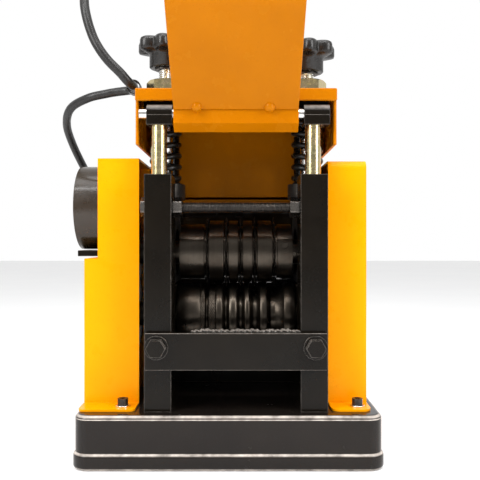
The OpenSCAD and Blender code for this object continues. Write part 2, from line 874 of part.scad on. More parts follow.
// Spacer discs between the blades, with narrow necks
module blade_spacers() {
    edges = concat([-32], blade_places, [40.7]);
    color([0.16, 0.15, 0.14]) for (i = [0 : len(edges) - 2]) {
        low = edges[i] + (i == 0 ? 0 : blade_w / 2);
        high = edges[i + 1] - (i == len(edges) - 2 ? 0 : blade_w / 2);
        wide = high - low > 6;
        difference() {
            union() {
                bar_x(low, high - low, 26, 0, upper_z);
                if (wide) bar_x(low + 1.6, high - low - 3.2, spacer_r, 0, upper_z);
            }
            bar_x(low - 1, high - low + 2, shaft_d / 2, 0, upper_z);
        }
    }
}

// ---- Lower roller ----

// Lower shaft with its nuts
module lower_shaft() {
    color([0.25, 0.24, 0.23]) {
        bar_x(-124, 244, shaft_d / 2, 0, lower_z);
        shaft_nut(sync_x - 5, 5, lower_z);
        shaft_nut(86, 4, lower_z);
        shaft_nut(train_x + train_w, 5, lower_z);
    }
}

// Grooved feed roller: outline from left to right as distance along X and radius
roller_outline = [
    [-58.3, ridge_r], [-35.6, ridge_r], [-35.2, 29.3], [-31.2, 29.3], [-30.7, 24], [-27.9, 24], [-27.4, 29.3],
    [-21, 29.3], [-19.9, ridge_r], [-13.9, ridge_r], [-11.8, 23], [-9, 23], [-7, ridge_r], [0.2, ridge_r],
    [2.2, 22.5], [6.4, 22.5], [8.4, ridge_r], [13, ridge_r], [15.6, 22], [21, 22], [23.6, ridge_r],
    [30.4, ridge_r],
    [33, 22.5], [35.4, 21], [36.4, 22.5], [38, 21], [39.2, 22.5], [41, 22.5], [47.4, ridge_r],
    [58.3, ridge_r]
];

module feed_roller() {
    color([0.22, 0.21, 0.19]) translate([0, 0, lower_z]) rotate([0, 90, 0]) rotate_extrude($fn = 96)
        polygon(concat([[shaft_d / 2, -58.3]],
            [for (p = roller_outline) [p[1], p[0]]],
            [[shaft_d / 2, 58.3]]));
}

// ---- Knobs ----

// Lobed hand knob with its hub, standing on its washer
module knob_shape() {
    hub_h = 15.4;
    head_h = 14;
    difference() {
        union() {
            cylinder(h = hub_h + 2, r = 16.5);
            translate([0, 0, hub_h]) linear_extrude(head_h) {
                circle(r = knob_r - 5.5);
                for (k = [0 : knob_lobes - 1]) rotate(k * 360 / knob_lobes + 12)
                    translate([knob_r - 8, 0]) circle(r = 8);
            }
        }
        translate([0, 0, -1]) cylinder(h = hub_h + 13, r = stud_r + 0.05);
    }
}

module knob_left() {
    color([0.07, 0.07, 0.07]) translate([-plate_mid, 0, left_knob_z + 2]) knob_shape();
}

module knob_right() {
    color([0.07, 0.07, 0.07]) translate([plate_mid, 0, right_knob_z + 2]) knob_shape();
}

// Washers that slide on the studs below the knobs
module washer_shape() {
    difference() {
        cylinder(h = 1.9, r = 11);
        translate([0, 0, -1]) cylinder(h = 5, r = stud_r + 0.08);
    }
}

module washer_left() {
    color([0.6, 0.6, 0.58]) translate([-plate_mid, 0, left_knob_z]) washer_shape();
}

module washer_right() {
    color([0.6, 0.6, 0.58]) translate([plate_mid, 0, right_knob_z]) washer_shape();
}

base_pan();
base_tray();
side_plate_left();
side_plate_right();
front_crossbar();
rear_crossbar();
crossbar_bolts();
weld_bead();
tie_rod();
tie_rod_nuts();
bridge_columns();
top_bridge();
column_nuts();
hood_shell();
hood_screws();
screw_bushes();
hinge_posts();
hinge_barrels();
hinge_pin();
left_cover();
right_cover();
cover_screws();
cover_washers();
lower_bearings();
motor_plate();
motor_shelf();
gearhead();
motor_body();
fan_cover();
terminal_box();
cable_glands();
supply_lead();
cable_clip();
switch_plate();
start_button();
stop_button();
idler_pin();
bearing_block_left();
bearing_block_right();
upper_bearings();
adjusting_studs();
spring_seats();
spring_left();
spring_right();
upper_shaft();
cutting_blades();
blade_spacers();
upper_gear();
lower_shaft();
feed_roller();
lower_gear();
drive_gear();
idler_gear();
motor_pinion();
guard_plate();
guard_channel();
knob_left();
knob_right();
washer_left();
washer_right();
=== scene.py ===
import json
import math
import bpy
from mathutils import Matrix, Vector


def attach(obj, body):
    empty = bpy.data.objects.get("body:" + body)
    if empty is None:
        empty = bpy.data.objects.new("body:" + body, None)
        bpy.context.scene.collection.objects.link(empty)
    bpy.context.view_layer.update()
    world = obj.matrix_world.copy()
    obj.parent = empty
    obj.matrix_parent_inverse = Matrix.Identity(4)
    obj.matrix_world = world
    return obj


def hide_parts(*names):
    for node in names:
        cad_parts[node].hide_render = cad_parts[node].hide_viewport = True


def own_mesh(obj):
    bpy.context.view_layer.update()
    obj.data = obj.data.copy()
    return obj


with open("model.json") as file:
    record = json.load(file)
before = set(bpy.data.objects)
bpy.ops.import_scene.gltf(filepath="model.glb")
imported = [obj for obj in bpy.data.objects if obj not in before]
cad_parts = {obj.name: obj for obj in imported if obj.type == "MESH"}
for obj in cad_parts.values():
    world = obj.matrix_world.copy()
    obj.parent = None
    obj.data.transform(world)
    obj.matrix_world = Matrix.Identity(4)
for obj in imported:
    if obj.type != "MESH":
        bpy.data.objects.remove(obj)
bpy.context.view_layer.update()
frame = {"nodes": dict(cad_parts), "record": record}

# The object's lengths are in millimetres and become metres where a mesh is made.
# The floor, the lights and the camera are in metres.
MM = 0.001

# Places taken from the design
PLATE_MID = 72.5
LOWER_Z = 134.0
HOOD_TOP = 338
LEFT_KNOB_FOOT, RIGHT_KNOB_FOOT = 384.6, 380.0
BAR_END, BAR_TOP = 83.5, 124.0
HINGE_Y, HINGE_Z = -56.0, 327.5
SHAFT_R = 12.5
RIDGE_R = 31.0


# ---- Node materials ----

class Paint:
    """A material under construction: its node tree and a few ways to fill it."""

    def __init__(self, name):
        self.material = bpy.data.materials.new(name)
        self.material.use_nodes = True
        self.tree = self.material.node_tree
        self.shader = self.tree.nodes["Principled BSDF"]
        self.place = self.tree.nodes.new("ShaderNodeTexCoord").outputs["Object"]

    def link(self, source, target):
        self.tree.links.new(source, target)

    def set(self, **values):
        for key, value in values.items():
            self.shader.inputs[key.replace("_", " ")].default_value = value

    def noise(self, size, detail=3.0, stretch=(1, 1, 1), roughness=0.55):
        """Noise whose patches are about size millimetres wide, drawn out by stretch."""
        scaled = self.tree.nodes.new("ShaderNodeMapping")
        scaled.inputs["Scale"].default_value = [1000 / size / s for s in stretch]
        self.link(self.place, scaled.inputs["Vector"])
        texture = self.tree.nodes.new("ShaderNodeTexNoise")
        texture.inputs["Scale"].default_value = 1.0
        texture.inputs["Detail"].default_value = detail
        texture.inputs["Roughness"].default_value = roughness
        self.link(scaled.outputs["Vector"], texture.inputs["Vector"])
        return texture.outputs["Fac"]

    def spread(self, source, low, high, start=0.3, end=0.7):
        """Maps a value between start and end onto low to high."""
        mapped = self.tree.nodes.new("ShaderNodeMapRange")
        mapped.inputs["From Min"].default_value = start
        mapped.inputs["From Max"].default_value = end
        mapped.inputs["To Min"].default_value = low
        mapped.inputs["To Max"].default_value = high
        self.link(source, mapped.inputs["Value"])
        return mapped.outputs["Result"]

    def mix(self, factor, first, second):
        """Mixes two colours, or an earlier mix and a colour, by a 0 to 1 factor."""
        blender = self.tree.nodes.new("ShaderNodeMix")
        blender.data_type = "RGBA"
        self.link(factor, blender.inputs["Factor"])
        for socket, colour in ((blender.inputs[6], first), (blender.inputs[7], second)):
            if isinstance(colour, tuple):
                socket.default_value = (*colour, 1.0)
            else:
                self.link(colour, socket)
        return blender.outputs[2]

    def fold_highlight_mask(self):
        """1 where the surface leans about halfway between upright and level, as bends do; the mask for a
        painted highlight along bends.
        """
        shape = self.tree.nodes.new("ShaderNodeNewGeometry")
        parts = self.tree.nodes.new("ShaderNodeSeparateXYZ")
        self.link(shape.outputs["Normal"], parts.inputs["Vector"])
        tilt = self.calculate("ABSOLUTE", parts.outputs["Z"])
        rising = self.spread(tilt, 0, 1, 0.30, 0.60)
        falling = self.spread(tilt, 1, 0, 0.85, 0.97)
        return self.calculate("MULTIPLY", rising, falling)

    def edges(self, width):
        """1 along sharp edges, within width millimetres of them; the mask for a painted highlight along
        edges.
        """
        rounded = self.tree.nodes.new("ShaderNodeBevel")
        rounded.inputs["Radius"].default_value = width * MM
        shape = self.tree.nodes.new("ShaderNodeNewGeometry")
        match = self.tree.nodes.new("ShaderNodeVectorMath")
        match.operation = "DOT_PRODUCT"
        self.link(rounded.outputs["Normal"], match.inputs[0])
        self.link(shape.outputs["True Normal"], match.inputs[1])
        return self.spread(match.outputs["Value"], 1, 0, 0.82, 0.985)

    def calculate(self, operation, first, second=None):
        step = self.tree.nodes.new("ShaderNodeMath")
        step.operation = operation
        self.link(first, step.inputs[0])
        if second:
            self.link(second, step.inputs[1])
        return step.outputs["Value"]

    def bump(self, height, depth):
        """A bump of depth millimetres."""
        bumped = self.tree.nodes.new("ShaderNodeBump")
        bumped.inputs["Distance"].default_value = depth * MM
        bumped.inputs["Strength"].default_value = 1.0
        self.link(height, bumped.inputs["Height"])
        return bumped.outputs["Normal"]

    def finish(self, colour=None, roughness=None, normal=None):
        if colour:
            self.link(colour, self.shader.inputs["Base Color"])
        if roughness:
            self.link(roughness, self.shader.inputs["Roughness"])
        if normal:
            self.link(normal, self.shader.inputs["Normal"])
        return self.material


def painted(name, colour, shade, rough, peel=0.012, shine=0.3, dust=0.02, tint=(1, 1, 1),
            fold_highlight=0.0, edge_highlight=0.0):
    """Sprayed paint: orange peel, faint dust, rubbed patches, and a painted highlight along folds and along
    edges, each with its own strength.
    """
    paint = Paint(name)
    paint.set(Specular_IOR_Level=shine, Specular_Tint=(*tint, 1))
    patches = paint.spread(paint.noise(60, 4), 0, 1)
    specks = paint.spread(paint.noise(1.6, 2), 0, 1, 0.62, 0.8)
    tone = paint.mix(patches, colour, shade)
    dusty = tuple(min(1.0, c * 0.8 + dust) for c in colour)
    tone = paint.mix(specks, tone, dusty)
    # Painted highlight: a pale colour laid along bends, where the surface leans halfway up and catches the
    # light, broken up by noise.
    if fold_highlight:
        bare = paint.calculate("MULTIPLY", paint.fold_highlight_mask(), paint.spread(paint.noise(9, 4), 0.35 * fold_highlight, fold_highlight))
        tone = paint.mix(bare, tone, PAINTED_HIGHLIGHT)
    # Painted highlight: the same pale colour laid thinly along sharp edges, broken up by noise.
    if edge_highlight:
        edge_highlight_mask = paint.edges(0.9)
        edge_highlight_amount = paint.spread(paint.noise(5, 4), 0.3 * edge_highlight, edge_highlight)
        thin = paint.calculate("MULTIPLY", edge_highlight_mask, edge_highlight_amount)
        tone = paint.mix(thin, tone, PAINTED_HIGHLIGHT)
    rubbed = paint.spread(paint.noise(22, 5), rough - 0.07, rough + 0.1)
    skin = paint.bump(paint.noise(1.8, 2), peel)
    return paint.finish(tone, rubbed, skin)


def steel(name, colour, shade, rough, stretch=(0.06, 20, 20), depth=0.004):
    """Machined steel: fine tool marks, oil film and rubbed patches."""
    metal = Paint(name)
    metal.set(Metallic=1.0)
    patches = metal.spread(metal.noise(18, 5), 0, 1)
    tone = metal.mix(patches, colour, shade)
    marks = metal.noise(6, 3, stretch)
    tone = metal.mix(metal.spread(marks, 0, 0.35), tone, tuple(c * 0.6 for c in shade))
    worn = metal.spread(metal.noise(9, 5), rough - 0.03, rough + 0.05)
    lines = metal.bump(marks, depth)
    return metal.finish(tone, worn, lines)


def oxide(name, colour, shade, rough):
    """Blackened steel: a dull oxide skin with thin, brown-grey rubbed spots."""
    metal = Paint(name)
    metal.set(Metallic=0.75)
    patches = metal.spread(metal.noise(12, 5), 0, 1)
    tone = metal.mix(patches, colour, shade)
    bare = metal.spread(metal.noise(3.5, 6), 0, 0.5, 0.6, 0.75)
    tone = metal.mix(bare, tone, (0.16, 0.14, 0.12))
    worn = metal.spread(metal.noise(5, 4), rough - 0.08, rough + 0.14)
    grain = metal.bump(metal.noise(0.9, 3), 0.01)
    return metal.finish(tone, worn, grain)


def zinc(name, colours, rough):
    """Zinc plating: cloudy passivation colours over a bright, slightly wavy metal."""
    metal = Paint(name)
    metal.set(Metallic=1.0)
    clouds = metal.spread(metal.noise(14, 4), 0, 1)
    tone = metal.mix(clouds, colours[0], colours[1])
    veils = metal.spread(metal.noise(7, 5), 0, 0.6, 0.45, 0.7)
    tone = metal.mix(veils, tone, colours[2])
    worn = metal.spread(metal.noise(4, 4), rough - 0.06, rough + 0.12)
    waves = metal.bump(metal.noise(2.2, 3), 0.002)
    return metal.finish(tone, worn, waves)


def plastic(name, colour, rough, grain_size=0.5, depth=0.01):
    """Moulded plastic: a fine even grain and faint flow marks."""
    body = Paint(name)
    body.set(Specular_IOR_Level=0.4)
    flow = body.spread(body.noise(25, 3), 0, 1)
    tone = body.mix(flow, colour, tuple(min(1.0, c * 1.25 + 0.004) for c in colour))
    scuffs = body.spread(body.noise(4, 6, (1, 4, 1)), rough - 0.05, rough + 0.12)
    grain = body.bump(body.noise(grain_size, 2), depth)
    return body.finish(tone, scuffs, grain)


# Yellow enamel keeps its own hue in its reflections
WARM = (1.0, 0.72, 0.30)
# Painted highlight: a pale colour laid on black enamel along folds and edges, where bends and edges catch the
# light
PAINTED_HIGHLIGHT = (0.62, 0.55, 0.49)


def make_finishes():
    """One procedural material for each slot in the record."""
    return {
        # base_paint and frame_paint carry a painted highlight along their folds, and frame_paint along its
        # sharp edges too.
        "base_paint": painted(
            "base_paint", (0.008, 0.006, 0.005), (0.012, 0.009, 0.007),
            rough=0.18, peel=0.02, shine=0.22, dust=0.010, fold_highlight=0.9),
        "frame_paint": painted(
            "frame_paint", (0.004, 0.003, 0.002), (0.007, 0.005, 0.003),
            rough=0.16, peel=0.02, shine=0.14, dust=0.006, fold_highlight=0.3, edge_highlight=0.3),
        "cover_paint": painted(
            "cover_paint", (0.92, 0.325, 0.0), (0.88, 0.31, 0.0),
            rough=0.30, peel=0.012, shine=0.22, dust=0.0, tint=WARM),
        # Painted shade: guard_paint is a darker copy of the cover yellow, for pieces that face down or lie in
        # shadow.
        "guard_paint": painted(
            "guard_paint", (0.49, 0.150, 0.0), (0.44, 0.132, 0.0),
            rough=0.22, peel=0.02, shine=0.24, dust=0.0, tint=WARM),
        # The dark amber tint in the motor's black paint is a painted reflection of the yellow covers nearby.
        "motor_paint": painted(
            "motor_paint", (0.020, 0.012, 0.005), (0.032, 0.020, 0.008),
            rough=0.22, peel=0.02, shine=0.5),
        "black_oxide": oxide("black_oxide", (0.030, 0.027, 0.025), (0.055, 0.048, 0.042), 0.32),
        "dull_steel": steel("dull_steel", (0.24, 0.22, 0.20), (0.15, 0.135, 0.12), 0.26, (4, 4, 0.2)),
        "yellow_zinc": zinc(
            "yellow_zinc", ((0.62, 0.50, 0.24), (0.46, 0.42, 0.24), (0.66, 0.48, 0.32)), 0.20),
        "bright_zinc": zinc(
            "bright_zinc", ((0.80, 0.78, 0.74), (0.66, 0.66, 0.68), (0.84, 0.80, 0.70)), 0.20),
        "bearing_steel": steel("bearing_steel", (0.62, 0.61, 0.60), (0.48, 0.47, 0.46), 0.22),
        "gear_steel": steel("gear_steel", (0.30, 0.28, 0.26), (0.18, 0.16, 0.14), 0.34),
        "roller_steel": steel("roller_steel", (0.085, 0.072, 0.058), (0.045, 0.036, 0.028), 0.30),
        "blade_steel": steel("blade_steel", (0.24, 0.22, 0.20), (0.14, 0.125, 0.11), 0.26),
        "spring_steel": painted(
            "spring_steel", (0.006, 0.005, 0.004), (0.011, 0.009, 0.007),
            rough=0.28, peel=0.02, shine=0.4),
        "black_plastic": plastic("black_plastic", (0.012, 0.011, 0.010), 0.42),
        "knob_plastic": plastic("knob_plastic", (0.007, 0.006, 0.005), 0.26, 0.8, 0.006),
        "lead_rubber": plastic("lead_rubber", (0.008, 0.0075, 0.007), 0.34, 0.35, 0.01),
        "green_plastic": plastic("green_plastic", (0.01, 0.25, 0.05), 0.30),
        "red_plastic": plastic("red_plastic", (0.55, 0.015, 0.01), 0.30),
    }


FINISHES = make_finishes()
SLOT_OF = {part["node"]: part["material_slot"] for part in frame["record"]["subparts"]}
BODY_OF = {
    node: body
    for body, nodes in frame["record"]["behaviour"]["bodies"].items()
    for node in nodes
}


def coat(piece, slot):
    """Gives a piece the finish of a slot."""
    if piece.data.materials:
        piece.data.materials[0] = FINISHES[slot]
    else:
        piece.data.materials.append(FINISHES[slot])


def soften(piece, width, segments=3, angle=32):
    """Rounds a piece's sharp edges by width millimetres."""
    joined = piece.modifiers.new("joined faces", "WELD")
    joined.merge_threshold = 0.005 * MM
    bevel = piece.modifiers.new("rounded edges", "BEVEL")
    bevel.width = width * MM
    bevel.segments = segments
    bevel.limit_method = "ANGLE"
    bevel.angle_limit = math.radians(angle)
    bevel.use_clamp_overlap = True
    bevel.harden_normals = False
    smooth = piece.modifiers.new("smooth normals", "WEIGHTED_NORMAL")
    smooth.keep_sharp = True


# ---- Mesh helpers ----

def add_piece(name, points, faces, stands_for, edge=0.0):
    """A smooth mesh piece, in millimetres, that takes the place of CAD nodes."""
    mesh = bpy.data.meshes.new(name)
    mesh.from_pydata([Vector(p) * MM for p in points], [], faces)
    mesh.validate()
    mesh.update()
    for polygon in mesh.polygons:
        polygon.use_smooth = True
    piece = bpy.data.objects.new(name, mesh)
    bpy.context.scene.collection.objects.link(piece)
    coat(piece, SLOT_OF[stands_for[0]])
    if edge:
        soften(piece, edge)
    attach(piece, BODY_OF[stands_for[0]])
    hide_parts(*stands_for)
    return piece


class Shape:
    """Points and faces gathered from several simple solids."""

    def __init__(self):
        self.points = []
        self.faces = []

    def add(self, points, faces):
        start = len(self.points)
        self.points.extend(points)
        self.faces.extend([tuple(start + i for i in face) for face in faces])

    def block(self, low, high):
        """A box between its lowest and highest corners."""
        points = [(x, y, z) for x in (low[0], high[0]) for y in (low[1], high[1]) for z in (low[2], high[2])]
        self.add(points, [(0, 1, 3, 2), (4, 6, 7, 5), (0, 4, 5, 1), (2, 3, 7, 6), (0, 2, 6, 4), (1, 5, 7, 3)])

    def rings(self, rings, closed_ends=True, loop=False):
        """Joins rings of points of equal length into a skin."""
        count = len(rings[0])
        points = [p for ring in rings for p in ring]
        faces = []
        last = len(rings) if loop else len(rings) - 1
        for i in range(last):
            here, there = i * count, (i + 1) % len(rings) * count
            for s in range(count):
                t = (s + 1) % count
                faces.append((here + s, here + t, there + t, there + s))
        if closed_ends and not loop:
            faces.append(tuple(range(count - 1, -1, -1)))
            faces.append(tuple((len(rings) - 1) * count + s for s in range(count)))
        self.add(points, faces)

    def sweep(self, line, radius, sides=12):
        """A round tube along a line of points."""
        across = Vector((1, 0, 0))
        rings = []
        for i, point in enumerate(line):
            ahead = Vector(line[min(i + 1, len(line) - 1)]) - Vector(line[max(i - 1, 0)])
            ahead.normalize()
            across = (across - across.dot(ahead) * ahead).normalized()
            other = ahead.cross(across)
            rings.append([
                tuple(Vector(point) + radius * (math.cos(a) * across + math.sin(a) * other))
                for a in turn(sides)
            ])
        self.rings(rings)

    def sheet_x(self, middle, thickness, left, right):
        """Bent sheet: a line of (y, z) points given thickness and drawn along X."""
        upper, lower = [], []
        for i, point in enumerate(middle):
            before = Vector(middle[max(i - 1, 0)])
            after = Vector(middle[min(i + 1, len(middle) - 1)])
            ahead = (after - before).normalized()
            side = Vector((-ahead.y, ahead.x)) * thickness / 2
            upper.append(Vector(point) + side)
            lower.append(Vector(point) - side)
        outline = upper + lower[::-1]
        count = len(outline)
        points = [(x, p.x, p.y) for x in (left, right) for p in outline]
        half = len(middle)
        faces = []
        for i in range(count):
            j = (i + 1) % count
            faces.append((i, j, count + j, count + i))
        for i in range(half - 1):
            a, b = i, i + 1
            c, d = count - 2 - i, count - 1 - i
            faces.append((d, c, b, a))
            faces.append((count + a, count + b, count + c, count + d))
        self.add(points, faces)


def turn(steps):
    """Angles of a full turn."""
    return [2 * math.pi * k / steps for k in range(steps)]


def bent(points, radius, steps=8):
    """A line of 2-D points whose inner corners are rounded to a bend radius."""
    line = [points[0]]
    for i in range(1, len(points) - 1):
        corner = Vector(points[i])
        back = (Vector(points[i - 1]) - corner).normalized()
        ahead = (Vector(points[i + 1]) - corner).normalized()
        half = back.angle(ahead) / 2
        reach = radius / math.tan(half)
        middle = corner + (back + ahead).normalized() * radius / math.sin(half)
        start = corner + back * reach - middle
        end = corner + ahead * reach - middle
        for k in range(steps + 1):
            share = k / steps
            spoke = (start * (1 - share) + end * share).normalized() * radius
            line.append(tuple(middle + spoke))
    line.append(points[-1])
    return line


def smooth_line(points, parts):
    """A smooth curve through all the points."""
    line = []
    last = len(points) - 1
    for i in range(last):
        a, b = Vector(points[max(i - 1, 0)]), Vector(points[i])
        c, d = Vector(points[i + 1]), Vector(points[min(i + 2, last)])
        for k in range(parts):
            t = k / parts
            line.append(0.5 * (2 * b + (c - a) * t + (2 * a - 5 * b + 4 * c - d) * t * t
                               + (3 * b - a - 3 * c + d) * t * t * t))
    line.append(Vector(points[last]))
    return line


# ---- Pieces with finer shapes than the CAD ----

def make_lead():
    """Supply lead, from the rear gland over the hood clip to the motor."""
    course = [
        (-100, 192, 9.5), (-100, 212, 10), (-104, 230, 18), (-112, 240, 45), (-124, 240, 90),
        (-140, 234, 145), (-158, 222, 200), (-176, 202, 250), (-192, 174, 292), (-202, 140, 325),
        (-202, 108, 346), (-190, 80, 360), (-167, 64, 368), (-146, 60, 372), (-133, 59, 374),
        (-119, 56, 375), (-112, 45, 374), (-110, 30, 372), (-108, 14, 370), (-107, 2, 368),
        (-111, -6, 371), (-118, -7, 379), (-130, -7, 391), (-139, -7, 403), (-146, -6, 416),
        (-152, -5, 434), (-156, 0, 453), (-157, 12, 474), (-154, 34, 492), (-146, 60, 505),
        (-132, 86, 512.8), (-112, 107, 513.8), (-88, 121, 507), (-64, 128, 489), (-46, 130, 462),
        (-35, 130, 430), (-30, 130, 395), (-30, 130, 345),
    ]
    shape = Shape()
    shape.sweep(smooth_line(course, 8), 4.75, 20)
    add_piece("lead_jacket", shape.points, shape.faces, ["supply_lead"])


def make_springs():
    """Coil springs, one on each side, each a fixed helix of wire."""
    wire, mean, low, high, turns = 2.9, 13.6, 260.9, 336.1, 6.6
    steps = 40
    for side, x, node in ((1, -PLATE_MID, "spring_left"), (-1, PLATE_MID, "spring_right")):
        count = int(turns * steps)
        line = []
        for i in range(count + 1):
            a = 2 * math.pi * i / steps
            share = i / count
            line.append((x + side * mean * math.cos(a), mean * math.sin(a), low + (high - low) * share))
        shape = Shape()
        shape.sweep(line, wire, 14)
        coil = add_piece(node + "_coil", shape.points, shape.faces, [node])
        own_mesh(coil)


def make_tie_rod():
    """Threaded spacer rod: a true screw thread of 1.5 mm pitch."""
    left, length, crest, depth, pitch = -91, 175, 5.0, 0.92, 1.5
    y, z, per_turn, around = -50, 240, 6, 24
    rings = []
    for i in range(int(length / pitch * per_turn) + 1):
        x = left + i * pitch / per_turn
        end = min(1.0, (x - left) / 2.0, (left + length - x) / 2.0)
        ring = []
        for k, a in enumerate(turn(around)):
            phase = (i / per_turn - k / around) % 1.0
            r = crest - depth * abs(2 * phase - 1) - 0.9 * (1 - end)
            ring.append((x, y + r * math.cos(a), z + r * math.sin(a)))
        rings.append(ring)
    shape = Shape()
    shape.rings(rings)
    add_piece("spacer_rod_thread", shape.points, shape.faces, ["tie_rod"])


def make_studs():
    """Adjusting studs with a 2 mm screw thread from the hood upwards."""
    around, per_turn, pitch = 32, 6, 2.0
    shape = Shape()
    for x, top in ((-PLATE_MID, 397.6), (PLATE_MID, 393.0)):
        rings = []
        count = int((top - HOOD_TOP) / pitch * per_turn)
        levels = [228, HOOD_TOP]
        levels += [HOOD_TOP + k * pitch / per_turn for k in range(1, count)]
        levels.append(top)
        for i, z in enumerate(levels):
            end = min(1.0, (top - z) / 1.6)
            ring = []
            for k, a in enumerate(turn(around)):
                cut = 0.0 if i < 2 else 1.0 * abs(2 * ((i / per_turn - k / around) % 1.0) - 1)
                r = 7.0 - cut - 1.2 * (1 - end)
                ring.append((x + r * math.cos(a), r * math.sin(a), z))
            rings.append(ring)
        shape.rings(rings)
    add_piece("stud_threads", shape.points, shape.faces, ["adjusting_studs"])


def make_knob(node, x, foot):
    """Lobed hand knob: hub, flared neck and a softly rounded seven-lobe head."""
    bore, hub, head_low, head_high = 7.05, 16.5, 15.4, 29.4
    around = 168
    lobes = 7
    profile = [(0.0, 15.6, 0), (0.9, hub, 0), (head_low - 3, hub, 0), (head_low - 1, 17.6, 0.15),
               (head_low, 19.5, 0.6), (head_low + 1.1, 21.2, 1), (head_low + 3.2, 21.9, 1),
               (head_high - 4.2, 21.9, 1), (head_high - 1.8, 21.0, 1), (head_high - 0.5, 19.2, 0.95),
               (head_high, 16.5, 0.85), (head_high, 11.0, 0.0), (head_high - 0.8, 9.0, 0.0)]
    rings = []
    for level, radius, swell in profile:
        ring = []
        for a in turn(around):
            wave = math.cos(lobes * (a - math.radians(12)))
            lobe = 7.2 * (0.5 + 0.5 * wave) ** 0.6
            r = radius + swell * lobe
            ring.append((x + r * math.cos(a), r * math.sin(a), foot + level))
        rings.append(ring)
    floor = [(x + bore * math.cos(a), bore * math.sin(a), foot + head_high - 1.0) for a in turn(around)]
    bottom = [(x + bore * math.cos(a), bore * math.sin(a), foot) for a in turn(around)]
    rings += [[(x + 8.0 * math.cos(a), 8.0 * math.sin(a), foot + head_high - 0.9) for a in turn(around)],
              floor, bottom]
    shape = Shape()
    shape.rings(rings, loop=True)
    add_piece(node + "_moulding", shape.points, shape.faces, [node])


def make_feed_roller():
    """Grooved feed roller with two rings of coarse knurling."""
    outline = [
        (-58.3, SHAFT_R), (-58.3, 30.2), (-57.5, RIDGE_R), (-35.9, RIDGE_R), (-35.4, 30.6),
        (-35.2, 29.3), (-31.2, 29.3), (-30.7, 24), (-27.9, 24), (-27.4, 29.3), (-21, 29.3),
        (-20.2, 30.7), (-19.6, RIDGE_R), (-14.3, RIDGE_R), (-13.7, 30.6), (-11.8, 23), (-9, 23),
        (-7.2, 30.5), (-6.7, RIDGE_R), (-0.1, RIDGE_R), (0.4, 30.5), (2.2, 22.5), (6.4, 22.5),
        (8.2, 30.5), (8.7, RIDGE_R), (12.7, RIDGE_R), (13.2, 30.5), (15.6, 22), (21, 22),
        (23.4, 30.5), (23.9, RIDGE_R), (30.1, RIDGE_R), (30.6, 30.5), (33, 22.5), (35.4, 21),
        (36.4, 22.5), (38, 21), (39.2, 22.5), (41, 22.5), (47.0, 30.6), (47.6, RIDGE_R),
        (57.5, RIDGE_R), (58.3, 30.2), (58.3, SHAFT_R),
    ]
    knurled = ((-35.2, -31.2), (-27.4, -21.0))
    around, teeth, pitch, tooth, sink = 240, 60, 2.1, 0.55, 0.3
    fine = []
    for i, (x, r) in enumerate(outline):
        fine.append((x, r))
        for start, end in knurled:
            if x == start:
                fine += [(start + (end - start) * k / 12, r) for k in range(1, 12)]
    rings = []
    for x, r in fine:
        rough = any(start < x < end for start, end in knurled)
        ring = []
        for k, a in enumerate(turn(around)):
            lift = 0.0
            if rough:
                across = (x - knurled[0][0]) / pitch
                along = k * teeth / around
                lift = tooth * (abs(2 * ((along + across) % 1) - 1) + abs(2 * ((along - across) % 1) - 1))
            reach = r + lift - sink * rough
            ring.append((x, reach * math.cos(a), LOWER_Z + reach * math.sin(a)))
        rings.append(ring)
    shape = Shape()
    shape.rings(rings, loop=True)
    add_piece("feed_roller_body", shape.points, shape.faces, ["feed_roller"])


def make_guard():
    """Bent guard plate; its hinge channel stays a CAD piece."""
    angle, bend, long, tip, thick = 44, 12, 104, 84, 2.5
    along = Vector((-math.cos(math.radians(angle)), math.sin(math.radians(angle))))
    beyond = Vector((-math.cos(math.radians(angle + bend)), math.sin(math.radians(angle + bend))))
    side = Vector((-along.y, along.x)) * thick / 2
    start = Vector((HINGE_Y - 12, HINGE_Z + 3.5)) + side
    knee = start + along * long
    end = knee + beyond * (tip - 0.8)
    shape = Shape()
    shape.sheet_x(bent([tuple(start), tuple(knee), tuple(end)], 40, 12), thick, -57.7, 57.7)
    add_piece("guard_sheet", shape.points, shape.faces, ["guard_plate"], 0.7)


def make_weld_bead():
    """Rough weld along the top of the front bar."""
    left, length, around, step = -42, 101.5, 20, 0.7
    middle, tallest = -70, 3.9
    rings = []
    for i in range(int(length / step) + 1):
        x = left + i * step
        end = min(1.0, (x - left + 0.3) / 4, (left + length - x + 0.3) / 4) ** 0.5
        ripple = 0.45 * math.sin(x * 1.35) + 0.6 * math.sin(x * 0.43 + 1) + 0.4 * math.sin(x * 0.19)
        ring = []
        for k in range(around):
            a = math.pi * k / (around - 1)
            lump = 0.22 * math.sin(x * 1.1 + 3 * a) + 0.15 * math.sin(x * 2.3 - 5 * a)
            r = (2.9 + 0.85 * ripple + lump) * end
            reach = min(r, tallest)
            ring.append((x, middle - reach * math.cos(a), BAR_TOP + reach * math.sin(a)))
        rings.append(ring)
    shape = Shape()
    shape.rings(rings)
    add_piece("weld_ripples", shape.points, shape.faces, ["weld_bead"])


def make_crossbars():
    """Flat bars across the plates, with sawn and deburred edges."""
    front = Shape()
    front.block((-BAR_END, -77, 90), (BAR_END, -68, BAR_TOP))
    front.block((-52, -68, 113), (52, -44, 119))
    add_piece("front_bar_and_table", front.points, front.faces, ["front_crossbar"], 1.0)
    rear = Shape()
    rear.block((-BAR_END, 63, 50), (BAR_END, 72, BAR_TOP))
    add_piece("rear_bar", rear.points, rear.faces, ["rear_crossbar"], 1.0)


